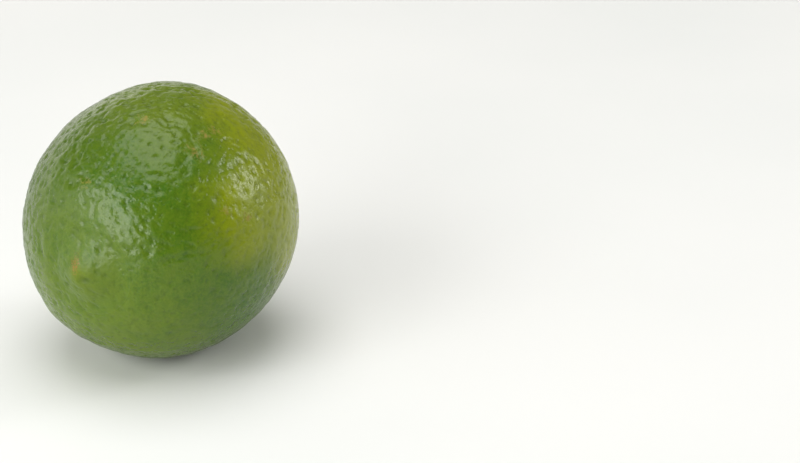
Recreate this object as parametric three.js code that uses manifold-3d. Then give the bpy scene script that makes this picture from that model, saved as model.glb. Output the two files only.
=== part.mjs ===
// A whole Persian lime, lying on its side on a small flat spot.
// Millimetres, +Z up. The fruit's own axis lies along Y: the blossom end, with its low nipple and
// scar, faces -Y, and the stem end, with its button, faces +Y. The origin is the middle of the
// fruit's outline seen from above, at the height of the surface that it rests on.
import * as THREE from "three";
import { mergeVertices } from "three/addons/utils/BufferGeometryUtils.js";
import Module from "manifold-3d";

// Driving dimensions of the fruit
const EQUATOR_DIAMETER = 54;
const BODY_LENGTH = 57; // along the fruit's axis, without the nipple and the button
const FULLNESS = 2.08; // 2 is an ellipse; a lime is a little fuller between its middle and its ends
const REST_SPOT_DIAMETER = 12; // where the rind is pressed flat by its own weight

// The blossom end: a low nipple with a small tip, a shallow ring furrow round it, and in the tip
// the pit left by the fallen style
const NIPPLE_HEIGHT = 1.2;
const NIPPLE_RADIUS = 4.8;
const NIPPLE_STEEPNESS = 4; // power of the nipple's fall: higher gives a flatter top and steeper sides
const TIP_HEIGHT = 0.9;
const TIP_RADIUS = 2.2;
const RING_FURROW_RADIUS = 7.2;
const RING_FURROW_WIDTH = 2.0;
const RING_FURROW_DEPTH = 0.3;
const STYLE_PIT_RADIUS = 1.0;
const STYLE_PIT_DEPTH = 0.5;

// The stem end: a shallow basin with furrows running out of it, and the woody button in its middle
const BASIN_DEPTH = 1.3;
const BASIN_RADIUS = 7;
const SPOKE_COUNT = 9;
const SPOKE_DEPTH = 0.35;
const SPOKE_MIDDLE = 10; // distance from the axis at which the spoke furrows are deepest
const SPOKE_FADE = 5; // distance over which they die out from there, in and out
const BUTTON_RADIUS = 2.9;
const BUTTON_LOBES = 5;
const BUTTON_LOBE_DEPTH = 0.5;
const BUTTON_THICKNESS = 2.4; // most of it is sunk in the rind
const BUTTON_PROUD = 1.0;
const BUTTON_BEVEL = 0.35;
const BUTTON_STEPS = 60; // corners of its outline
const STALK_SCAR_RADIUS = 1.3;
const STALK_SCAR_FLOOR_RADIUS = 0.9;
const STALK_SCAR_DEPTH = 0.35;
const STALK_SCAR_SIDES = 24;

// Broad swells and hollows that make the outline uneven. Each one is centred where a ray from the
// fruit's middle, at this azimuth (0 along +X, 90 along +Y) and elevation in degrees, leaves it.
const SWELLS = [
  { name: "high back", azimuth: 100, elevation: 65, width: 24, height: 0.75 },
  { name: "flat flank", azimuth: 200, elevation: 24, width: 26, height: -0.25 },
  { name: "full chin", azimuth: 228, elevation: -36, width: 20, height: 0.85 },
  { name: "crease in the chin", azimuth: 229, elevation: -42, width: 5, height: -0.4 },
  { name: "low belly", azimuth: 300, elevation: -65, width: 22, height: 0.3 },
];

// The rind's dimples, drawn larger than life because the facets are wide
const DIMPLE_COUNT = 560;
const DIMPLE_WIDTH = 1.25; // distance from its middle at which a dimple has lost two thirds of its depth
const DIMPLE_DEPTH = 0.3;
const DIMPLE_JITTER = 0.45; // share of the spacing by which a dimple strays from its even place
const SMOOTH_END_RADIUS = 5.5; // no dimples this close to the axis, at either end
const SMOOTH_REST_RADIUS = 10; // nor this close to the rest spot's middle
const SEED = 7;

const FACET_DETAIL = 22; // cuts along each edge of an icosahedron: 10,580 triangles about 1.4 mm across
const SAME_POINT = 1e-4; // corners closer than this are one corner

const RIND_COLOUR = 0x5f8f28;

const degrees = THREE.MathUtils.degToRad;
const equatorRadius = EQUATOR_DIAMETER / 2;
const halfLength = BODY_LENGTH / 2;

// A repeatable stand-in for Math.random
function seededRandom(seed) {
  let state = seed;
  return () => {
    state = (state * 1664525 + 1013904223) % 4294967296;
    return state / 4294967296;
  };
}

function bell(distance, width) {
  return Math.exp(-((distance / width) ** 2));
}

function directionOf(azimuth, elevation) {
  const level = Math.cos(degrees(elevation));
  return new THREE.Vector3(
    level * Math.cos(degrees(azimuth)),
    level * Math.sin(degrees(azimuth)),
    Math.sin(degrees(elevation)),
  );
}

// The body without its ends: distance from the middle to the skin in a given direction
function bodyReach(direction) {
  const across = Math.hypot(direction.x, direction.z) / equatorRadius;
  const along = Math.abs(direction.y) / halfLength;
  const plain = (across ** FULLNESS + along ** FULLNESS) ** (-1 / FULLNESS);
  return SWELLS.reduce((reach, swell) => {
    const angle = direction.angleTo(directionOf(swell.azimuth, swell.elevation));
    return reach + swell.height * bell(angle, degrees(swell.width));
  }, plain);
}

// How far the skin stands out along the axis at the blossom end, by distance from the axis
function blossomEnd(fromAxis) {
  const nipple = NIPPLE_HEIGHT / (1 + (fromAxis / NIPPLE_RADIUS) ** NIPPLE_STEEPNESS);
  const tip = TIP_HEIGHT * bell(fromAxis, TIP_RADIUS);
  const furrow = RING_FURROW_DEPTH * bell(fromAxis - RING_FURROW_RADIUS, RING_FURROW_WIDTH);
  const pit = STYLE_PIT_DEPTH * bell(fromAxis, STYLE_PIT_RADIUS);
  return nipple + tip - furrow - pit;
}

// The same at the stem end, where furrows run out like spokes
function stemEnd(fromAxis, turn) {
  const basin = BASIN_DEPTH * bell(fromAxis, BASIN_RADIUS);
  const spoke = Math.cos((SPOKE_COUNT * turn) / 2) ** 4;
  const furrow = SPOKE_DEPTH * spoke * bell(fromAxis - SPOKE_MIDDLE, SPOKE_FADE);
  return -basin - furrow;
}

// Dimple centres: an even spiral over the sphere of directions, each then nudged out of its place
function dimpleDirections() {
  const random = seededRandom(SEED);
  const goldenTurn = Math.PI * (3 - Math.sqrt(5));
  const spacing = Math.sqrt((4 * Math.PI) / DIMPLE_COUNT);
  return Array.from({ length: DIMPLE_COUNT }, (_, i) => {
    const up = 1 - (2 * i + 1) / DIMPLE_COUNT;
    const level = Math.sqrt(1 - up * up);
    const even = new THREE.Vector3(
      level * Math.cos(i * goldenTurn),
      level * Math.sin(i * goldenTurn),
      up,
    );
    const nudge = new THREE.Vector3(random() - 0.5, random() - 0.5, random() - 0.5);
    return even.addScaledVector(nudge, 2 * DIMPLE_JITTER * spacing).normalize();
  });
}

function dimpleDepth(direction, skin, centres) {
  const fromAxis = Math.hypot(skin.x, skin.z);
  const fromRest = skin.z < 0 ? Math.hypot(skin.x, skin.y) : Infinity;
  if (fromAxis < SMOOTH_END_RADIUS || fromRest < SMOOTH_REST_RADIUS) return 0;
  const nearest = centres.reduce(
    (least, centre) => Math.min(least, direction.distanceToSquared(centre)),
    Infinity,
  );
  const away = Math.sqrt(nearest) * skin.length();
  return DIMPLE_DEPTH * bell(away, DIMPLE_WIDTH);
}

// The rind: an even triangle net over a sphere, each corner moved out to the fruit's skin
function rindGeometry() {
  const sphere = new THREE.IcosahedronGeometry(1, FACET_DETAIL);
  sphere.deleteAttribute("normal");
  sphere.deleteAttribute("uv");
  const net = mergeVertices(sphere, SAME_POINT);
  const centres = dimpleDirections();
  const corners = net.getAttribute("position");
  for (let i = 0; i < corners.count; i += 1) {
    const direction = new THREE.Vector3().fromBufferAttribute(corners, i).normalize();
    const skin = direction.clone().multiplyScalar(bodyReach(direction));
    const fromAxis = Math.hypot(skin.x, skin.z);
    const turn = Math.atan2(skin.z, skin.x);
    skin.addScaledVector(direction, -dimpleDepth(direction, skin, centres));
    skin.y += skin.y < 0 ? -blossomEnd(fromAxis) : stemEnd(fromAxis, turn);
    corners.setXYZ(i, skin.x, skin.y, skin.z);
  }
  return net;
}

// The button: the dry calyx, a small star of five blunt lobes, facing +Y
function buttonGeometry() {
  const outline = new THREE.Shape();
  for (let i = 0; i < BUTTON_STEPS; i += 1) {
    const turn = (2 * Math.PI * i) / BUTTON_STEPS;
    const reach = BUTTON_RADIUS - BUTTON_BEVEL + BUTTON_LOBE_DEPTH * Math.cos(BUTTON_LOBES * turn);
    const x = reach * Math.cos(turn);
    const y = reach * Math.sin(turn);
    if (i === 0) outline.moveTo(x, y);
    else outline.lineTo(x, y);
  }
  outline.closePath();
  const star = new THREE.ExtrudeGeometry(outline, {
    depth: BUTTON_THICKNESS - 2 * BUTTON_BEVEL,
    bevelThickness: BUTTON_BEVEL,
    bevelSize: BUTTON_BEVEL,
    bevelSegments: 2,
  });
  return star.rotateX(-Math.PI / 2);
}

// The shallow cup in the button's middle, where the stalk came away
function stalkScarGeometry() {
  return new THREE.CylinderGeometry(
    STALK_SCAR_RADIUS,
    STALK_SCAR_FLOOR_RADIUS,
    2 * STALK_SCAR_DEPTH,
    STALK_SCAR_SIDES,
  );
}

const wasm = await Module();
wasm.setup();

function solidOf(geometry) {
  const bare = geometry.clone();
  bare.deleteAttribute("normal");
  bare.deleteAttribute("uv");
  const closed = mergeVertices(bare, SAME_POINT);
  return new wasm.Manifold(
    new wasm.Mesh({
      numProp: 3,
      vertProperties: new Float32Array(closed.getAttribute("position").array),
      triVerts: new Uint32Array(closed.index.array),
    }),
  );
}

function geometryOf(solid) {
  const mesh = solid.getMesh();
  const geometry = new THREE.BufferGeometry();
  geometry.setAttribute("position", new THREE.BufferAttribute(mesh.vertProperties, 3));
  geometry.setIndex(new THREE.BufferAttribute(mesh.triVerts, 1));
  return geometry;
}

// A block that stands for what the fruit lies on: its top is at the height of the rest spot
function surfaceGeometry(lowestSkin) {
  const pressed = equatorRadius - Math.sqrt(equatorRadius ** 2 - (REST_SPOT_DIAMETER / 2) ** 2);
  const side = 2 * BODY_LENGTH;
  return new THREE.BoxGeometry(side, side, side).translate(0, 0, lowestSkin + pressed - side / 2);
}

// Fuses the button into its basin, and presses the rest spot flat
function fruitGeometry() {
  const buttonTop = halfLength - BASIN_DEPTH + BUTTON_PROUD;
  const button = buttonGeometry();
  button.computeBoundingBox();
  button.translate(0, buttonTop - button.boundingBox.max.y, 0);
  const scar = stalkScarGeometry().translate(0, buttonTop, 0);
  const rind = rindGeometry();
  rind.computeBoundingBox();
  const surface = surfaceGeometry(rind.boundingBox.min.z);
  const whole = solidOf(rind).add(solidOf(button));
  return geometryOf(whole.subtract(solidOf(scar)).subtract(solidOf(surface)));
}

// Moves the fruit so that the origin is under its middle, on the surface
function standOnOrigin(geometry) {
  geometry.computeBoundingBox();
  const middle = geometry.boundingBox.getCenter(new THREE.Vector3());
  return geometry.translate(-middle.x, -middle.y, -geometry.boundingBox.min.z);
}

const rindMaterial = new THREE.MeshStandardMaterial({
  color: RIND_COLOUR,
  roughness: 0.4,
  metalness: 0,
});
const lime = new THREE.Mesh(standOnOrigin(fruitGeometry()), rindMaterial);
lime.name = "lime";

const part = new THREE.Group();
part.add(lime);
export default part;
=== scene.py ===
# %% [markdown]
# # A whole lime with a pitted, waxy rind
# The real thing is a Persian lime lying on its side: one grown piece, with thousands of small oil glands
# in its rind, a low nipple at the blossom end and a small dry button at the stem end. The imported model
# gives the lime's size and place: it stands on z = 0 with its own axis along Y, the nipple at -Y and the
# button at +Y. In this lesson the rind becomes one fine net whose every corner is moved by a formula, so
# that its swells and glands are real shape, and then it gets its colours, a camera and light.

# %% Load the frame
from math import cos, pi, radians, sin, sqrt, tan

import bmesh
import bpy
import numpy as np
from mathutils import Matrix, Quaternion, Vector, noise
from mathutils.kdtree import KDTree


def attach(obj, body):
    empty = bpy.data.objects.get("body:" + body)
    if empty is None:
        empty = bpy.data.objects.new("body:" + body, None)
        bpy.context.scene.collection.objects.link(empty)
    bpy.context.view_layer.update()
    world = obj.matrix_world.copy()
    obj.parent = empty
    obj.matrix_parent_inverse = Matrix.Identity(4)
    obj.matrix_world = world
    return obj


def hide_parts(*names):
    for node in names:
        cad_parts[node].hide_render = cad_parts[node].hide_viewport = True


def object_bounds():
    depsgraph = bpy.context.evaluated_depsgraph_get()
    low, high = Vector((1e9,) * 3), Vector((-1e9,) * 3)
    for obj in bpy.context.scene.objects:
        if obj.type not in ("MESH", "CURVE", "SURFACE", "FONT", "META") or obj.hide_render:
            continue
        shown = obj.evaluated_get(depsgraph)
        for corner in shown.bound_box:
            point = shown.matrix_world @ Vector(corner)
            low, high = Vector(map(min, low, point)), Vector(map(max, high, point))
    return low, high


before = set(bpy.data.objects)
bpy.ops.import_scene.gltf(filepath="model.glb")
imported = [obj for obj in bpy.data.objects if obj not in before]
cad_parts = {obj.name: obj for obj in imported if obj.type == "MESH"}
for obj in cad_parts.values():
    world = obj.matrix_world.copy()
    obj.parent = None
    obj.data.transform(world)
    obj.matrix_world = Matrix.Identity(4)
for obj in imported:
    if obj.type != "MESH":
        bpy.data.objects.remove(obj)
cad_low, cad_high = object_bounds()

MM = 0.001
print("the packed lime measures", [round(side / MM, 1) for side in cad_high - cad_low], "mm")

# %% [markdown]
# ## The camera
# We take the picture from about 45 cm away with a long lens, looking down on the table at 23 degrees. The
# lime stands left of the picture's middle, so the camera looks past it. We could shift the lens, or turn
# the camera towards the fruit. Moving the camera aside is simpler, and keeps the angles that we chose: it
# stands where the lime's middle falls on its pixel.

# %% Place the camera
PICTURE_WIDTH = 800
PICTURE_HEIGHT = 463
LIME_PIXEL_X = 159.3  # from the picture's left edge to the lime's middle
LIME_PIXEL_Y = 220.2  # from its top edge
PIXEL_SIZE = 0.2007 * MM  # what one pixel covers at the lime's distance
LENS_MM = 100.0
SENSOR_MM = 36.0
CAMERA_AZIMUTH = radians(25.3)
CAMERA_ELEVATION = radians(23.4)
NEAREST_SEEN = 0.01

camera_data = bpy.data.cameras.new("camera")
camera_data.lens = LENS_MM
camera_data.sensor_width = SENSOR_MM
camera_data.clip_start = NEAREST_SEEN
camera = bpy.data.objects.new("camera", camera_data)
bpy.context.scene.collection.objects.link(camera)
bpy.context.scene.camera = camera

to_right = Vector((cos(CAMERA_AZIMUTH), sin(CAMERA_AZIMUTH), 0))
to_back = Vector((sin(CAMERA_AZIMUTH) * cos(CAMERA_ELEVATION),
                  -cos(CAMERA_AZIMUTH) * cos(CAMERA_ELEVATION),
                  sin(CAMERA_ELEVATION)))
to_top = to_back.cross(to_right)
camera_distance = PIXEL_SIZE * PICTURE_WIDTH * LENS_MM / SENSOR_MM
lime_middle = (cad_low + cad_high) / 2
lime_aside = (LIME_PIXEL_X - PICTURE_WIDTH / 2) * PIXEL_SIZE
lime_above = (PICTURE_HEIGHT / 2 - LIME_PIXEL_Y) * PIXEL_SIZE
camera.matrix_world = Matrix((to_right, to_top, to_back)).transposed().to_4x4()
camera.location = lime_middle + to_back * camera_distance - to_right * lime_aside - to_top * lime_above
print("camera", round(camera_distance, 3), "m away, at", [round(place, 3) for place in camera.location])

# %% [markdown]
# ## The shape of the fruit
# A lime is nearly an ellipsoid, a little fuller between its middle and its ends, with broad swells and
# hollows that make it uneven. It could be sculpted by hand, but a formula is repeatable and every size in
# it is a real one. For each direction out of the fruit's middle we work out how far away the skin is. Then
# the two ends are pushed out or in along the axis: the nipple's bump and its ring furrow, and the basin
# with its spoke furrows.

# %% The body: distance from the middle to the skin
EQUATOR_RADIUS = 27 * MM
HALF_LENGTH = 28.5 * MM
FULLNESS = 2.08

# name, azimuth and elevation of its middle in degrees, its width in degrees, and how far it stands out
SWELLS = (
    ("high back", 100, 65, 24, 0.75 * MM),
    ("flat flank", 200, 24, 26, -0.25 * MM),
    ("full chin", 228, -36, 20, 0.85 * MM),
    ("crease in the chin", 229, -42, 5, -0.4 * MM),
    ("low belly", 300, -65, 22, 0.3 * MM),
)


def bell(distance, width):
    """1 in the middle, falling off smoothly to about a third at the given width."""
    return np.exp(-((distance / width) ** 2))


def direction_of(azimuth, elevation):
    """A unit vector from two angles in degrees: azimuth 0 is along +X and 90 along +Y."""
    turn, rise = radians(azimuth), radians(elevation)
    return np.array([cos(rise) * cos(turn), cos(rise) * sin(turn), sin(rise)])


def angle_from(directions, azimuth, elevation):
    return np.arccos(np.clip(directions @ direction_of(azimuth, elevation), -1, 1))


def body_reach(directions):
    across = np.hypot(directions[:, 0], directions[:, 2]) / EQUATOR_RADIUS
    along = np.abs(directions[:, 1]) / HALF_LENGTH
    reach = (across**FULLNESS + along**FULLNESS) ** (-1 / FULLNESS)
    for _, azimuth, elevation, width, height in SWELLS:
        reach += height * bell(angle_from(directions, azimuth, elevation), radians(width))
    return reach


print("the body reaches", np.round(body_reach(np.eye(3)) / MM, 1), "mm along X, Y and Z")

# %% The two ends
NIPPLE_HEIGHT = 1.2 * MM
NIPPLE_RADIUS = 4.8 * MM
NIPPLE_STEEPNESS = 4
TIP_HEIGHT = 0.9 * MM
TIP_RADIUS = 2.2 * MM
RING_FURROW_RADIUS = 7.2 * MM
RING_FURROW_WIDTH = 2.0 * MM
RING_FURROW_DEPTH = 0.3 * MM
STYLE_PIT_RADIUS = 1.0 * MM
STYLE_PIT_DEPTH = 0.5 * MM

BASIN_DEPTH = 1.3 * MM
BASIN_RADIUS = 7 * MM
SPOKE_COUNT = 9
SPOKE_DEPTH = 0.35 * MM
SPOKE_MIDDLE = 10 * MM
SPOKE_FADE = 5 * MM


def blossom_end(from_axis):
    nipple = NIPPLE_HEIGHT / (1 + (from_axis / NIPPLE_RADIUS) ** NIPPLE_STEEPNESS)
    tip = TIP_HEIGHT * bell(from_axis, TIP_RADIUS)
    furrow = RING_FURROW_DEPTH * bell(from_axis - RING_FURROW_RADIUS, RING_FURROW_WIDTH)
    pit = STYLE_PIT_DEPTH * bell(from_axis, STYLE_PIT_RADIUS)
    return nipple + tip - furrow - pit


def stem_end(from_axis, turn):
    basin = BASIN_DEPTH * bell(from_axis, BASIN_RADIUS)
    spoke = np.cos(SPOKE_COUNT * turn / 2) ** 4
    return -basin - SPOKE_DEPTH * spoke * bell(from_axis - SPOKE_MIDDLE, SPOKE_FADE)


def smooth_skin(directions):
    """The fruit's skin before its lumps and glands, as points round the fruit's middle."""
    skin = directions * body_reach(directions)[:, None]
    from_axis = np.hypot(skin[:, 0], skin[:, 2])
    turn = np.arctan2(skin[:, 2], skin[:, 0])
    skin[:, 1] += np.where(skin[:, 1] < 0, -blossom_end(from_axis), stem_end(from_axis, turn))
    return skin


print("the nipple stands out", round(float(blossom_end(TIP_RADIUS / 2)) / MM, 2), "mm")

# %% [markdown]
# ## The net of the rind
# The rind needs small, even faces all over, because its glands are about a millimetre wide. A UV sphere
# crowds its faces at two poles, and an icosphere only comes in sizes four times apart. So we cut a cube
# into a grid of cells and blow it up to a sphere. The tangent keeps the cells near the cube's corners from
# getting too small.

# %% Weave the net
NET_CELLS = 128  # along each edge of the cube

net = bmesh.new()
bmesh.ops.create_cube(net, size=2)
bmesh.ops.subdivide_edges(net, edges=net.edges[:], cuts=NET_CELLS - 1, use_grid_fill=True)
for corner in net.verts:
    corner.co = Vector([tan(place * pi / 4) for place in corner.co]).normalized()
net.verts.ensure_lookup_table()
print("net of", len(net.verts), "corners and", 2 * len(net.faces), "triangles")

# %% [markdown]
# ## The oil glands
# Each gland is a small pit. A few are large and deep, and most are small. Placed purely at random they
# would clump and leave bald patches, so we start from an even spiral over the sphere and nudge each one out
# of its place. The nearest corner of the net then moves to the gland's middle, so that no gland falls
# between corners.

# %% Place the glands
GLAND_COUNT = 2200
GLAND_JITTER = 0.42  # share of the spacing by which a gland strays from its even place
SMALL_GLAND = 0.34 * MM  # width of the smallest gland's bell
LARGE_GLAND = 0.65 * MM
GLAND_DEPTH_SHARE = 0.48  # depth for each part of width

random = np.random.RandomState(7)


def spread_over_sphere(count, jitter):
    """Directions on an even spiral from pole to pole, each one nudged by a share of the spacing."""
    step = np.arange(count)
    height = 1 - (2 * step + 1) / count
    level = np.sqrt(1 - height**2)
    turn = step * pi * (3 - sqrt(5))
    even = np.stack([level * np.cos(turn), level * np.sin(turn), height], axis=1)
    nudge = random.uniform(-1, 1, (count, 3)) * jitter * sqrt(4 * pi / count)
    strayed = even + nudge
    return strayed / np.linalg.norm(strayed, axis=1)[:, None]


gland_directions = spread_over_sphere(GLAND_COUNT, GLAND_JITTER)
gland_widths = SMALL_GLAND + (LARGE_GLAND - SMALL_GLAND) * random.uniform(0, 1, GLAND_COUNT) ** 2

corner_tree = KDTree(len(net.verts))
for corner in net.verts:
    corner_tree.insert(corner.co, corner.index)
corner_tree.balance()
for direction in gland_directions:
    nearest = corner_tree.find(direction)[1]
    net.verts[nearest].co = direction

print(GLAND_COUNT, "glands, half of them wider than", round(2 * float(np.median(gland_widths)) / MM, 2), "mm")

# %% [markdown]
# ## Pressing the net out to the skin
# Every corner goes out to the smooth skin first. Then come the lumps, which break up the shine into
# islands, the shallow hollows between them, and the glands. How deep a corner lies depends on how far away
# its nearest gland is and how wide that one is, so a search tree over the glands gives it at once. The
# corners look from a slightly shifted place, so that no gland's rim is a perfect circle. A real rind isn't
# equally rough all over either: the relief is strongest on one side, and it fades out at both ends.

# %% Helpers for the lumps and the glands
# length and height of a lump
LUMP_SIZES = ((7 * MM, 0.08 * MM), (3.0 * MM, 0.19 * MM), (0.9 * MM, 0.07 * MM))
HOLLOW_SIZE = 1.6 * MM
HOLLOW_DEPTH = 0.14 * MM
HOLLOW_EDGE = (0.16, 0.44)  # the random height at which a hollow begins, and at which it is deep
COARSE_AREA = 12 * MM
COARSE_SHIFT = 0.25
ROUGH_MIDDLE = (245, 55)  # azimuth and elevation of the area with the strongest relief
ROUGH_WIDTH = 75
CALM_SHARE = 0.55  # how much of the relief is left far away from there
SMOOTH_NIPPLE = 1.4 * MM
SMOOTH_BASIN = 4.5 * MM
GLAND_WANDER = 0.28 * MM  # how far a gland's rim strays from a circle
GLAND_WANDER_SIZE = 0.8 * MM
WANDER_SEED = 7  # without a seed, noise_vector starts from the clock and each run differs

noise.seed_set(WANDER_SEED)


def drift(points, size):
    """A smooth random height between about -0.7 and 0.7 at every point, with bumps of the given size."""
    return np.array([noise.noise(Vector(point) / size) for point in points])


def wander(points, size):
    """A smooth random shift at every point, about as long as drift is high."""
    return np.array([noise.noise_vector(Vector(point) / size) for point in points])


def lumps(points):
    return sum(rise * drift(points, size) for size, rise in LUMP_SIZES)


def hollows(points):
    """1 inside irregular hollows and 0 on the plateaus between them, with more hollows in some areas."""
    level = drift(points, HOLLOW_SIZE) + COARSE_SHIFT * drift(points, COARSE_AREA)
    share = np.clip((level - HOLLOW_EDGE[0]) / (HOLLOW_EDGE[1] - HOLLOW_EDGE[0]), 0, 1)
    return share * share * (3 - 2 * share)


def nearest_gland(points, gland_points):
    """For each point the distance to its nearest gland, and that gland's number."""
    tree = KDTree(len(gland_points))
    for number, place in enumerate(gland_points):
        tree.insert(place, number)
    tree.balance()
    found = [tree.find(point) for point in points]
    return np.array([f[2] for f in found]), np.array([f[1] for f in found])


# %% Press the net out
directions = np.array([corner.co for corner in net.verts])
skin = smooth_skin(directions)
from_axis = np.hypot(skin[:, 0], skin[:, 2])
wandered = skin + GLAND_WANDER * wander(skin, GLAND_WANDER_SIZE)
away, number = nearest_gland(wandered, smooth_skin(gland_directions))
calm_radius = np.where(skin[:, 1] < 0, SMOOTH_NIPPLE, SMOOTH_BASIN)
roughened = 1 - bell(from_axis, calm_radius)
rough_side = bell(np.degrees(angle_from(directions, *ROUGH_MIDDLE)), ROUGH_WIDTH)
roughened *= CALM_SHARE + (1 - CALM_SHARE) * rough_side
in_gland = roughened * bell(away, gland_widths[number])
depth = in_gland * gland_widths[number] * GLAND_DEPTH_SHARE
in_hollow = roughened * hollows(skin)
skin += directions * (lumps(skin) * roughened - depth - HOLLOW_DEPTH * in_hollow)[:, None]
print("the deepest gland is", round(float(depth.max()) / MM, 3), "mm deep")
print("share of the rind in a hollow", round(float((in_hollow > 0.5).mean()), 3))

# %% The rest spot
REST_SPOT_RADIUS = 6 * MM

pressed = EQUATOR_RADIUS - sqrt(EQUATOR_RADIUS**2 - REST_SPOT_RADIUS**2)
table_height = skin[:, 2].min() + pressed
skin[:, 2] = np.maximum(skin[:, 2], table_height)
print("the table is", round(-table_height / MM, 2), "mm below the fruit's axis")

# %% [markdown]
# ## The scar at the nipple
# Where the flower's style fell off, the nipple carries a small corky scar on its flank. It is raised a
# little and crumbly, so it is a bell of height with noise on it, in the same net. Its orange brown comes
# later, from the measure that is worked out here. Below the tip a short crease puts one side of the bump
# in shade, and the peel's colour is painted darker there as well, as painted shade.

# %% Raise the scar and press the crease
SCAR_PLACE = (-1.3 * MM, 2.1 * MM)  # across and above the fruit's axis
SCAR_RADIUS = (1.8 * MM, 3.3 * MM)
SCAR_HEIGHT = 0.15 * MM
CREASE_PLACE = (0.9 * MM, -0.8 * MM)
CREASE_RADIUS = (1.2 * MM, 0.8 * MM)
CREASE_DEPTH = 0.65 * MM
CRUMB = 0.28 * MM
CRUMB_SHARE = 0.8  # share of the scar's height that the crumbs add or take away


def spot(points, place, radius):
    """An oval bell over the blossom end, seen along the fruit's axis."""
    aside = (points[:, 0] - place[0]) / radius[0]
    above = (points[:, 2] - place[1]) / radius[1]
    return np.where(points[:, 1] < 0, bell(np.hypot(aside, above), 1), 0)


scar = spot(skin, SCAR_PLACE, SCAR_RADIUS)
crease = spot(skin, CREASE_PLACE, CREASE_RADIUS)
crumbs = drift(skin, CRUMB)
skin[:, 1] += CREASE_DEPTH * crease - SCAR_HEIGHT * scar * (1 + CRUMB_SHARE * crumbs)
print("the scar covers", int((scar > 0.4).sum()), "corners of the net")

# %% [markdown]
# ## The button at the stem end
# A picked lime keeps its dry calyx: a star of five blunt lobes, with a shallow cup where the stalk broke
# off. It could be cut out of a disc with a modifier, but rings are simpler to shape: we start from a filled
# circle, inset it step by step, and lift each ring by a profile. The underside is extruded down into the
# basin, so that no gap shows round it.

# %% Build the button
BUTTON_RADIUS = 2.9 * MM
BUTTON_LOBES = 5
BUTTON_LOBE_DEPTH = 0.5 * MM
BUTTON_PROUD = 1.0 * MM
BUTTON_THICKNESS = 2.4 * MM
BUTTON_CORNERS = 120
BUTTON_RINGS = 14
STALK_CUP_RADIUS = 1.3 * MM
STALK_CUP_DEPTH = 0.45 * MM
RIM_DROP = 0.55 * MM
VEIN_HEIGHT = 0.06 * MM
VEIN_COUNT = 20
BUTTON_GRAIN = 0.5 * MM
BUTTON_GRAIN_HEIGHT = 0.08 * MM
CUP_STEEPNESS = 8  # power of the cup's wall: higher gives a flatter floor and a steeper wall


def button_height(share, turn):
    """The button's top surface: share is 0 at its middle and 1 at its edge."""
    across = share * BUTTON_RADIUS
    dome = -RIM_DROP * share**3
    cup = -STALK_CUP_DEPTH / (1 + (across / STALK_CUP_RADIUS) ** CUP_STEEPNESS)
    vein = VEIN_HEIGHT * cos(VEIN_COUNT * turn) * share * (1 - share)
    return dome + cup + vein


star = bmesh.new()
bmesh.ops.create_circle(star, cap_ends=True, segments=BUTTON_CORNERS, radius=1)
for _ in range(BUTTON_RINGS):
    inner = max(star.faces, key=lambda face: len(face.verts))
    bmesh.ops.inset_region(star, faces=[inner], thickness=1 / (BUTTON_RINGS + 1), use_boundary=True,
                           use_even_offset=True)
top_faces = star.faces[:]
bmesh.ops.poke(star, faces=[max(top_faces, key=lambda face: len(face.verts))])
edge_ring = [edge for edge in star.edges if edge.is_boundary]
wall = bmesh.ops.extrude_edge_only(star, edges=edge_ring)["geom"]
foot = {corner for corner in wall if isinstance(corner, bmesh.types.BMVert)}
bmesh.ops.contextual_create(star, geom=[edge for edge in wall if isinstance(edge, bmesh.types.BMEdge)])
button_shares = np.array([min(1.0, corner.co.xy.length) for corner in star.verts])
for corner, share in zip(star.verts, button_shares):
    turn = np.arctan2(corner.co.y, corner.co.x)
    lobe = BUTTON_LOBE_DEPTH * cos(BUTTON_LOBES * turn) * share**2
    reach = share * BUTTON_RADIUS + lobe
    grain = noise.noise(Vector((cos(turn), sin(turn), 0)) * reach / BUTTON_GRAIN)
    top = button_height(share, turn) + BUTTON_GRAIN_HEIGHT * grain
    height = -BUTTON_THICKNESS if corner in foot else top
    corner.co = Vector((reach * cos(turn), reach * sin(turn), height))
print("button of", len(star.faces), "faces")

# %% [markdown]
# ## Into the frame
# The net still has the fruit's middle as its origin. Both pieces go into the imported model's box together,
# so that they have exactly its size and place. The factors come out within one percent of 1, because the
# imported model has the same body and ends, and only the fine relief differs.

# %% Turn the button to face +Y and set it in its basin
BUTTON_TOP = HALF_LENGTH - BASIN_DEPTH + BUTTON_PROUD

bmesh.ops.rotate(star, verts=star.verts[:], matrix=Matrix.Rotation(-pi / 2, 3, "X"))
highest = max(corner.co.y for corner in star.verts)
bmesh.ops.translate(star, verts=star.verts[:], vec=(0, BUTTON_TOP - highest, 0))
button_points = np.array([corner.co for corner in star.verts])

everything = np.concatenate([skin, button_points])
own_low, own_high = everything.min(axis=0), everything.max(axis=0)
fit = (np.array(cad_high) - np.array(cad_low)) / (own_high - own_low)
print("factors that fit the pieces into the frame", np.round(fit, 4))


def into_frame(points):
    return np.array(cad_low) + (points - own_low) * fit


# %% Make the two pieces
def make_piece(name, net, points):
    """Moves a net's corners to their final points, and makes it a smooth, closed piece at the origin."""
    for corner, place in zip(net.verts, into_frame(points)):
        corner.co = place
    bmesh.ops.recalc_face_normals(net, faces=net.faces[:])
    for face in net.faces:
        face.smooth = True
    mesh = bpy.data.meshes.new(name)
    net.to_mesh(mesh)
    net.free()
    piece = bpy.data.objects.new(name, mesh)
    bpy.context.scene.collection.objects.link(piece)
    return piece


rind = make_piece("rind", net, skin)
button = make_piece("stem_button", star, button_points)

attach(rind, "root")
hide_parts("lime")
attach(button, "root")
print("rind", len(rind.data.polygons), "faces, button", len(button.data.polygons), "faces")
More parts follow.
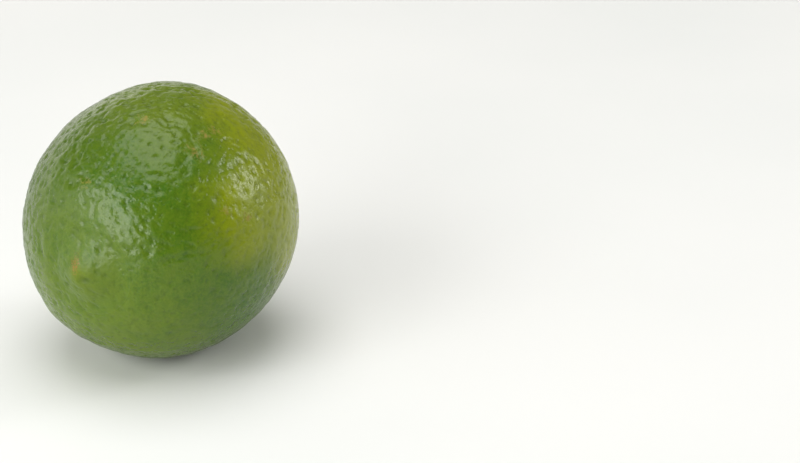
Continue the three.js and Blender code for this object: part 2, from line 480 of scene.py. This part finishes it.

# %% [markdown]
# ## Where the fruit is ripe, russet or scarred, and where shade is painted
# The lime ripens to yellow on one flank, in a few blushes that run into each other with ragged edges. The
# flank across from it is painted a darker, duller green as shade. The skin round the nipple has little wax,
# and old rubs have left faint russet flecks. These marks belong to places on the fruit, so they are worked
# out here for every corner and kept as attributes. Painting them with texture coordinates alone would need
# a chain of nodes for each mark. How deep in a gland, a hollow or the crease a corner lies is kept too,
# because the colour is darker there: partly the glands' own darker dots, and partly painted shade in the
# glands, the hollows and the crease.

# %% Store the measures on the rind
# azimuth and elevation of its middle, degrees from there at which it begins to fade and is gone, and strength
BLUSHES = (
    (25, 15, 22, 52, 1.0),
    (350, 21, 9, 40, 0.83),
    (32, 45, 14, 42, 0.9),
    (20, 80, 8, 50, 0.28),
    (273, -28, 12, 70, 0.2),
)
BLUSH_WANDER = 6  # degrees by which a blush's edge strays from a circle
BLUSH_WANDER_SIZE = 5 * MM
# painted shade: a darker, duller green on the flank across from the ripe blush
PAINTED_SHADE_MIDDLE = (205, 35)
PAINTED_SHADE_WIDTH = 50
TIP_BLUSH_RADIUS = 2.0 * MM
DULL_NIPPLE_RADIUS = 6 * MM
# azimuth, elevation and radius in degrees
RUSSET_PLACES = (
    (287, 68, 6),
    (325, 50, 7),
    (352, 57, 4),
    (339, 57, 4),
    (342, 18, 6),
    (331, 23, 4),
    (263, 35, 5),
    (150, 40, 8),
    (95, -10, 6),
    (90, 0, 10),
)
# painted shade: the colour is made darker in hollows and in the crease, on top of the glands' dots
HOLLOW_SHADE = 0.3  # how dark a hollow is, where the widest gland's middle is 1
CREASE_SHADE = 1.7
DEEPEST_SHADE = 1.8


def keep_on_corners(piece, name, values):
    attribute = piece.data.attributes.new(name, "FLOAT", "POINT")
    attribute.data.foreach_set("value", values.astype(np.float32))


ripe = np.zeros(len(skin))
ragged = BLUSH_WANDER * drift(skin, BLUSH_WANDER_SIZE)
for azimuth, elevation, begins, ends, strength in BLUSHES:
    away_from_it = np.degrees(angle_from(directions, azimuth, elevation)) + ragged
    fade = np.clip((ends - away_from_it) / (ends - begins), 0, 1)
    ripe = np.maximum(ripe, strength * fade * fade * (3 - 2 * fade))
# painted shade on the flank across from the ripe blush
painted_shade = bell(np.degrees(angle_from(directions, *PAINTED_SHADE_MIDDLE)), PAINTED_SHADE_WIDTH)
ripe_tip = np.where(skin[:, 1] < 0, bell(from_axis, TIP_BLUSH_RADIUS), 0)
dull_nipple = np.where(skin[:, 1] < 0, bell(from_axis, DULL_NIPPLE_RADIUS), 0)
russet = np.zeros(len(skin))
for azimuth, elevation, radius in RUSSET_PLACES:
    russet += bell(np.degrees(angle_from(directions, azimuth, elevation)), radius)

# the glands' own darker dots, plus painted shade by depth in the glands, the hollows and the crease
gland_dots_and_painted_shade = in_gland * gland_widths[number] / LARGE_GLAND + HOLLOW_SHADE * in_hollow + CREASE_SHADE * crease
keep_on_corners(rind, "gland", np.clip(gland_dots_and_painted_shade, 0, DEEPEST_SHADE))
keep_on_corners(rind, "ripe", ripe)
# painted shade on the flank across from the ripe blush
keep_on_corners(rind, "painted_shade", painted_shade)
keep_on_corners(rind, "ripe_tip", ripe_tip)
keep_on_corners(rind, "dull", dull_nipple)
keep_on_corners(rind, "russet", np.clip(russet, 0, 1))
keep_on_corners(rind, "scar", scar)
print("ripe share of the rind", round(float((ripe > 0.5).mean()), 2))

# %% [markdown]
# ## Node groups that the finishes share
# The rind, the dry button and the table all have colour that drifts in soft patches. The rind and the
# button both carry crumbly marks and a fine grain. Each of these effects could be copied into every
# material, but then a change would have to be made in each copy. So it is built once as a node group with
# named sockets, and every material places it with its own values.

# %% Short ways to add nodes
MIX_FACTOR, MIX_A, MIX_B, MIX_RESULT = 0, 6, 7, 2  # the colour sockets of a Mix node


def paint(red, green, blue):
    """A colour as it is picked on a screen, 0 to 255, turned into the linear values of a shader."""
    shares = [part / 255 for part in (red, green, blue)]
    linear = [x / 12.92 if x <= 0.04045 else ((x + 0.055) / 1.055) ** 2.4 for x in shares]
    return (*linear, 1.0)


def add(tree, kind, inputs=None, **settings):
    """Adds a node. inputs maps a socket to a value, or to the output that feeds it."""
    node = tree.nodes.new(kind)
    for name, value in settings.items():
        setattr(node, name, value)
    for socket, value in (inputs or {}).items():
        if isinstance(value, bpy.types.NodeSocket):
            tree.links.new(value, node.inputs[socket])
        else:
            node.inputs[socket].default_value = value
    return node


def blended(tree, mask, first, second):
    """first where the mask is 0, and second where it is 1."""
    mix = add(tree, "ShaderNodeMix", data_type="RGBA")
    for socket, value in ((MIX_FACTOR, mask), (MIX_A, first), (MIX_B, second)):
        if isinstance(value, bpy.types.NodeSocket):
            tree.links.new(value, mix.inputs[socket])
        else:
            mix.inputs[socket].default_value = value
    return mix.outputs[MIX_RESULT]


def product(tree, first, second):
    return add(tree, "ShaderNodeMath", {0: first, 1: second}, operation="MULTIPLY").outputs[0]


def ramp(tree, value, low, high):
    """0 below low, 1 above high, and smooth between them."""
    node = add(tree, "ShaderNodeMapRange", {"Value": value, "From Min": low, "From Max": high},
               interpolation_type="SMOOTHSTEP")
    return node.outputs["Result"]


def new_group(name, inputs, outputs):
    """A node group with the named sockets. Returns it with its input node and its output node."""
    tree = bpy.data.node_groups.new(name, "ShaderNodeTree")
    for socket, kind in inputs.items():
        tree.interface.new_socket(socket, in_out="INPUT", socket_type="NodeSocket" + kind)
    for socket, kind in outputs.items():
        tree.interface.new_socket(socket, in_out="OUTPUT", socket_type="NodeSocket" + kind)
    return tree, tree.nodes.new("NodeGroupInput"), tree.nodes.new("NodeGroupOutput")


# %% Soft patches of a second colour
PATCH_EDGE = (0.36, 0.66)  # the noise at which a patch begins, and at which it is full


def build_soft_patches():
    tree, given, result = new_group(
        "soft_patches",
        {"Vector": "Vector", "Color": "Color", "Patch Color": "Color", "Scale": "Float", "Share": "Float"},
        {"Color": "Color", "Mask": "Float"},
    )
    pattern = add(tree, "ShaderNodeTexNoise",
                  {"Vector": given.outputs["Vector"], "Scale": given.outputs["Scale"], "Detail": 3.0})
    mask = product(tree, ramp(tree, pattern.outputs["Fac"], *PATCH_EDGE), given.outputs["Share"])
    mixed = blended(tree, mask, given.outputs["Color"], given.outputs["Patch Color"])
    tree.links.new(mixed, result.inputs["Color"])
    tree.links.new(mask, result.inputs["Mask"])
    return tree


soft_patches = build_soft_patches()
print("built the group", soft_patches.name)


# %% Crumbly marks where a measure says so
MARK_EDGE = (0.72, 1.0)  # the noise plus the cover at which a mark begins, and at which it is full


def build_crumbly_marks():
    tree, given, result = new_group(
        "crumbly_marks",
        {"Vector": "Vector", "Color": "Color", "Mark Color": "Color", "Scale": "Float", "Where": "Float",
         "Cover": "Float"},
        {"Color": "Color", "Mask": "Float"},
    )
    pattern = add(tree, "ShaderNodeTexNoise",
                  {"Vector": given.outputs["Vector"], "Scale": given.outputs["Scale"], "Detail": 5.0,
                   "Roughness": 0.65, "Distortion": 0.6})
    wanted = product(tree, given.outputs["Where"], given.outputs["Cover"])
    level = add(tree, "ShaderNodeMath", {0: pattern.outputs["Fac"], 1: wanted}, operation="ADD")
    mask = product(tree, ramp(tree, level.outputs[0], *MARK_EDGE), given.outputs["Where"])
    mixed = blended(tree, mask, given.outputs["Color"], given.outputs["Mark Color"])
    tree.links.new(mixed, result.inputs["Color"])
    tree.links.new(mask, result.inputs["Mask"])
    return tree


crumbly_marks = build_crumbly_marks()
print("built the group", crumbly_marks.name)


# %% A fine grain for bumps
def build_fine_grain():
    tree, given, result = new_group(
        "fine_grain", {"Vector": "Vector", "Scale": "Float"}, {"Height": "Float"})
    pattern = add(tree, "ShaderNodeTexNoise",
                  {"Vector": given.outputs["Vector"], "Scale": given.outputs["Scale"], "Detail": 2.0,
                   "Roughness": 0.5})
    tree.links.new(pattern.outputs["Fac"], result.inputs["Height"])
    return tree


fine_grain = build_fine_grain()
print("built the group", fine_grain.name)

# %% [markdown]
# ## The peel
# A lime's rind is dark green with lighter, yellower patches, and each oil gland is a darker dot, which is
# painted darker still by its depth as painted shade. Over the colour lies a natural wax: it is glossy enough
# for soft reflections, but not a mirror. We lay the colours in the order in which they are laid on the fruit:
# ground green, patches, the painted shade on one flank, ripe blush, glands with the painted shade of the
# hollows and the crease, russet and the scar. The marks are dry, so they also raise the roughness. Between
# the modelled glands lie finer pits and a grain that are too small for the net. They could be modelled with
# four times as many corners, but a bump does it as well. The floors of the finer pits are painted darker
# too, partly as gland colour and partly as painted shade.

# %% Mix the peel
DEEP_GREEN = paint(52, 92, 6)
LIGHT_GREEN = paint(77, 104, 10)
# colour of the painted shade on the flank across from the ripe blush
PAINTED_SHADE_GREEN = paint(64, 80, 8)
RIPE_YELLOW = paint(128, 138, 6)
# the glands' darker dots, and painted shade in the pits, hollows and crease
GLAND_AND_SHADE_GREEN = paint(36, 66, 3)
SPECK_GREEN = paint(86, 110, 18)
RUSSET_BROWN = paint(134, 118, 48)
SCAR_ORANGE = paint(152, 98, 50)
WAX_ROUGHNESS = 0.25
DRY_ROUGHNESS = 0.75
BROAD_PATCH = 9 * MM
SMALL_PATCH = 1.6 * MM
SPECK = 0.5 * MM
FLECK = 0.9 * MM
PIT_SPACING = 1.1 * MM
PIT_EDGE = (0.10, 0.42)  # share of the spacing at which a pit's floor ends, and its rim is reached
PIT_DEPTH = 0.05 * MM
PORE = 0.4 * MM
PORE_HEIGHT = 0.05 * MM
# how much of its colour each layer shows where it is strongest
BROAD_SHARE = 0.7
SMALL_SHARE = 0.4
SPECK_SHARE = 0.5
# painted shade on the flank across from the ripe blush
PAINTED_SHADE_SHARE = 0.75
TIP_SHARE = 0.25
# the next two darken glands and pit floors: partly their own darker colour, partly painted shade
GLAND_AND_SHADE_SHARE = 0.35
PIT_DOT_AND_SHADE_SHARE = 0.12
DULL_SHARE = 0.5
# how far the marks spread where their measure is 1
RUSSET_COVER = 0.31
SCAR_COVER = 0.34
WAX_IOR = 1.36
COAT_WEIGHT = 0.12
COAT_ROUGHNESS = 0.2


def measure(tree, name):
    return add(tree, "ShaderNodeAttribute", attribute_name=name).outputs["Fac"]


def place_group(tree, group, inputs):
    return add(tree, "ShaderNodeGroup", inputs, node_tree=group)


def build_peel():
    material = bpy.data.materials.new("peel")
    material.use_nodes = True
    tree = material.node_tree
    shader = tree.nodes["Principled BSDF"]
    where = add(tree, "ShaderNodeTexCoord").outputs["Object"]

    broad = place_group(tree, soft_patches,
                        {"Vector": where, "Color": DEEP_GREEN, "Patch Color": LIGHT_GREEN,
                         "Scale": 1 / BROAD_PATCH, "Share": BROAD_SHARE})
    small = place_group(tree, soft_patches,
                        {"Vector": where, "Color": broad.outputs["Color"], "Patch Color": LIGHT_GREEN,
                         "Scale": 1 / SMALL_PATCH, "Share": SMALL_SHARE})
    speck = place_group(tree, soft_patches,
                        {"Vector": where, "Color": small.outputs["Color"], "Patch Color": SPECK_GREEN,
                         "Scale": 1 / SPECK, "Share": SPECK_SHARE})
    # painted shade on the flank across from the ripe blush
    painted_shade_share = product(tree, measure(tree, "painted_shade"), PAINTED_SHADE_SHARE)
    painted_shade = blended(tree, painted_shade_share, speck.outputs["Color"], PAINTED_SHADE_GREEN)
    ripe = blended(tree, measure(tree, "ripe"), painted_shade, RIPE_YELLOW)
    tip_share = product(tree, measure(tree, "ripe_tip"), TIP_SHARE)
    ripe = blended(tree, tip_share, ripe, RIPE_YELLOW)
    # glands' dots plus painted shade in the glands, the hollows and the crease
    gland_and_shade_share = product(tree, measure(tree, "gland"), GLAND_AND_SHADE_SHARE)
    dotted = blended(tree, gland_and_shade_share, ripe, GLAND_AND_SHADE_GREEN)
    cells = add(tree, "ShaderNodeTexVoronoi", {"Vector": where, "Scale": 1 / PIT_SPACING})
    rim = ramp(tree, cells.outputs["Distance"], *PIT_EDGE)
    # pit floors darker: partly gland colour, partly painted shade
    pit_dot_and_shade = add(tree, "ShaderNodeMapRange",
                      {"Value": rim, "To Min": PIT_DOT_AND_SHADE_SHARE, "To Max": 0.0})
    dotted = blended(tree, pit_dot_and_shade.outputs["Result"], dotted, GLAND_AND_SHADE_GREEN)
    russet = place_group(tree, crumbly_marks,
                         {"Vector": where, "Color": dotted, "Mark Color": RUSSET_BROWN,
                          "Scale": 1 / FLECK, "Where": measure(tree, "russet"), "Cover": RUSSET_COVER})
    scar = place_group(tree, crumbly_marks,
                       {"Vector": where, "Color": russet.outputs["Color"], "Mark Color": SCAR_ORANGE,
                        "Scale": 1 / CRUMB, "Where": measure(tree, "scar"), "Cover": SCAR_COVER})
    tree.links.new(scar.outputs["Color"], shader.inputs["Base Color"])

    dull = product(tree, measure(tree, "dull"), DULL_SHARE)
    marked = add(tree, "ShaderNodeMath", {0: russet.outputs["Mask"], 1: scar.outputs["Mask"]},
                 operation="MAXIMUM")
    dry =add(tree, "ShaderNodeMath", {0: marked.outputs[0], 1: dull}, operation="MAXIMUM")
    roughness = add(tree, "ShaderNodeMapRange",
                    {"Value": dry.outputs[0], "To Min": WAX_ROUGHNESS, "To Max": DRY_ROUGHNESS})
    tree.links.new(roughness.outputs["Result"], shader.inputs["Roughness"])
    pitted = add(tree, "ShaderNodeBump", {"Height": rim, "Distance": PIT_DEPTH})
    grain = place_group(tree, fine_grain, {"Vector": where, "Scale": 1 / PORE})
    bump = add(tree, "ShaderNodeBump", {"Height": grain.outputs["Height"], "Distance": PORE_HEIGHT,
                                        "Normal": pitted.outputs["Normal"]})
    tree.links.new(bump.outputs["Normal"], shader.inputs["Normal"])
    shader.inputs["IOR"].default_value = WAX_IOR
    shader.inputs["Coat Weight"].default_value = COAT_WEIGHT
    shader.inputs["Coat Roughness"].default_value = COAT_ROUGHNESS
    return material


rind.data.materials.append(build_peel())
print("the peel has", len(rind.data.materials[0].node_tree.nodes), "nodes")

# %% [markdown]
# ## The dry button
# The calyx dries to a greenish tan with darker crumbs, and it is quite matt. Its edge is darker, and the
# cup where the stalk broke off shows pale, woody flesh with a dark ring round it. A painted picture would
# need a flat map of the star. Three measures on its corners do it instead: where the pale cup is, where
# its ring is, and how near the edge a corner lies. The same groups as on the rind then add smaller patches
# and browner marks.

# %% Store the measures on the button
STALK_RING_WIDTH = 0.12  # share of the button's radius
EDGE_STEEPNESS = 6  # power of the edge's rise: higher gives a narrower dark edge

stalk_share = STALK_CUP_RADIUS / BUTTON_RADIUS
keep_on_corners(button, "stalk_scar", 1 / (1 + (button_shares / stalk_share) ** CUP_STEEPNESS))
keep_on_corners(button, "dark_ring", bell(button_shares - stalk_share, STALK_RING_WIDTH))
keep_on_corners(button, "calyx_edge", button_shares**EDGE_STEEPNESS)
print("the stalk's scar covers", round(stalk_share**2, 2), "of the button")

# %% Mix the dry calyx
CALYX_GREEN = paint(106, 112, 46)
CALYX_TAN = paint(142, 124, 70)
CALYX_CRUMB = paint(84, 62, 34)
STALK_PALE = paint(176, 158, 112)
RING_BROWN = paint(70, 54, 28)
CALYX_PATCH = 1.5 * MM
RING_SHARE = 0.7
EDGE_SHARE = 0.5
CALYX_CRUMB_COVER = 0.3
CALYX_PORE = 0.25 * MM
CALYX_PORE_HEIGHT = 0.06 * MM
CALYX_ROUGHNESS = 0.8


def build_calyx():
    material = bpy.data.materials.new("dry_calyx")
    material.use_nodes = True
    tree = material.node_tree
    shader = tree.nodes["Principled BSDF"]
    where = add(tree, "ShaderNodeTexCoord").outputs["Object"]
    patches = place_group(tree, soft_patches,
                          {"Vector": where, "Color": CALYX_GREEN, "Patch Color": CALYX_TAN,
                           "Scale": 1 / CALYX_PATCH, "Share": 1.0})
    pale = blended(tree, measure(tree, "stalk_scar"), patches.outputs["Color"], STALK_PALE)
    ringed = blended(tree, product(tree, measure(tree, "dark_ring"), RING_SHARE), pale, RING_BROWN)
    edged = blended(tree, product(tree, measure(tree, "calyx_edge"), EDGE_SHARE), ringed, RING_BROWN)
    crumbs = place_group(tree, crumbly_marks,
                         {"Vector": where, "Color": edged, "Mark Color": CALYX_CRUMB,
                          "Scale": 1 / CRUMB, "Where": 1.0, "Cover": CALYX_CRUMB_COVER})
    tree.links.new(crumbs.outputs["Color"], shader.inputs["Base Color"])
    grain = place_group(tree, fine_grain, {"Vector": where, "Scale": 1 / CALYX_PORE})
    bump = add(tree, "ShaderNodeBump", {"Height": grain.outputs["Height"], "Distance": CALYX_PORE_HEIGHT})
    tree.links.new(bump.outputs["Normal"], shader.inputs["Normal"])
    shader.inputs["Roughness"].default_value = CALYX_ROUGHNESS
    return material


button.data.materials.append(build_calyx())
print("the calyx has", len(button.data.materials[0].node_tree.nodes), "nodes")

# %% [markdown]
# ## The table
# A plain, very pale table runs out past the picture on every side. It throws light up under the lime, as a
# white table does in a studio. A backdrop that curves up behind would do too, but from this height the
# camera sees only the table, so a flat disc is enough.

# %% Lay the table
TABLE_RADIUS = 2.5
TABLE_CORNERS = 96
TABLE_PALE = paint(230, 230, 228)
TABLE_SHADE = paint(226, 227, 225)
TABLE_PATCHES = 6.0  # soft patches in each metre
TABLE_ROUGHNESS = 0.6

disc = bmesh.new()
bmesh.ops.create_circle(disc, cap_ends=True, segments=TABLE_CORNERS, radius=TABLE_RADIUS)
table_mesh = bpy.data.meshes.new("table")
disc.to_mesh(table_mesh)
disc.free()
table = bpy.data.objects.new("table", table_mesh)
bpy.context.scene.collection.objects.link(table)


def build_table_finish():
    material = bpy.data.materials.new("pale_table")
    material.use_nodes = True
    tree = material.node_tree
    shader = tree.nodes["Principled BSDF"]
    where = add(tree, "ShaderNodeTexCoord").outputs["Object"]
    patches = place_group(tree, soft_patches,
                          {"Vector": where, "Color": TABLE_PALE, "Patch Color": TABLE_SHADE,
                           "Scale": TABLE_PATCHES, "Share": 1.0})
    tree.links.new(patches.outputs["Color"], shader.inputs["Base Color"])
    shader.inputs["Roughness"].default_value = TABLE_ROUGHNESS
    return material


table_mesh.materials.append(build_table_finish())
print("table", 2 * TABLE_RADIUS, "m across")

# %% [markdown]
# ## The studio light
# The shine on the rind tells where the light comes from: a wide, tilted window to the left of the camera
# and a small one to the right and behind, both about 20 to 25 degrees up. Both reflections are bright in
# the middle and fade out round it, as a window behind a thin curtain does, so each is made of two
# softboxes, a large dim one and a small bright one. A wide one overhead gives the soft haze on top. The
# surroundings are dim, and bright only low down beyond the fruit, which puts light streaks along its upper
# rim. Each softbox is an area light with the brightness of its surface given, because that is what a
# reflection shows.

# %% Set up the softboxes
SOFTBOX_DISTANCE = 1.0
# name, azimuth and elevation in degrees, width and height in metres, tilt in degrees, and brightness
SOFTBOXES = (
    ("left_curtain", 243, 18, 1.50, 0.75, -15, 1.5),
    ("left_window", 260, 25, 1.05, 0.38, -40, 5.2),
    ("right_curtain", 34, 21, 0.55, 0.55, 0, 1.7),
    ("right_window", 40, 23, 0.24, 0.30, 0, 7.4),
    ("overhead", 210, 88, 1.10, 0.80, 0, 2.8),
)
SURROUND_TINT = (1.0, 0.985, 0.9, 1.0)
SURROUND_DIM = 0.22
SURROUND_BRIGHT = 1.5
BRIGHT_SIDE = (160, -30)  # azimuth and elevation at which the surroundings are brightest
BRIGHT_EDGE = (0.3, 0.8)  # cosines of the angles from there at which they turn dim, and are fully bright

for name, azimuth, elevation, width, height, tilt, brightness in SOFTBOXES:
    lamp = bpy.data.lights.new(name, "AREA")
    lamp.shape = "RECTANGLE"
    lamp.size = width
    lamp.size_y = height
    lamp.energy = brightness * pi * width * height
    softbox = bpy.data.objects.new(name, lamp)
    bpy.context.scene.collection.objects.link(softbox)
    toward = Vector(direction_of(azimuth, elevation))
    softbox.location = lime_middle + toward * SOFTBOX_DISTANCE
    facing = toward.to_track_quat("Z", "Y") @ Quaternion((0, 0, 1), radians(tilt))
    softbox.rotation_euler = facing.to_euler()
    softbox.visible_camera = False
    print(name, round(lamp.energy, 1), "W")

surround = bpy.data.worlds.new("white_surround")
surround.use_nodes = True
background = surround.node_tree.nodes["Background"]
background.inputs["Color"].default_value = SURROUND_TINT
looking = add(surround.node_tree, "ShaderNodeTexCoord").outputs["Generated"]
bright_way = Vector(direction_of(*BRIGHT_SIDE))
beyond = add(surround.node_tree, "ShaderNodeVectorMath", {0: looking, 1: bright_way},
             operation="DOT_PRODUCT")
strength = add(surround.node_tree, "ShaderNodeMapRange",
               {"Value": beyond.outputs["Value"], "From Min": BRIGHT_EDGE[0], "From Max": BRIGHT_EDGE[1],
                "To Min": SURROUND_DIM, "To Max": SURROUND_BRIGHT}, interpolation_type="SMOOTHSTEP")
surround.node_tree.links.new(strength.outputs["Result"], background.inputs["Strength"])
bpy.context.scene.world = surround
bpy.context.scene.view_settings.view_transform = "Standard"
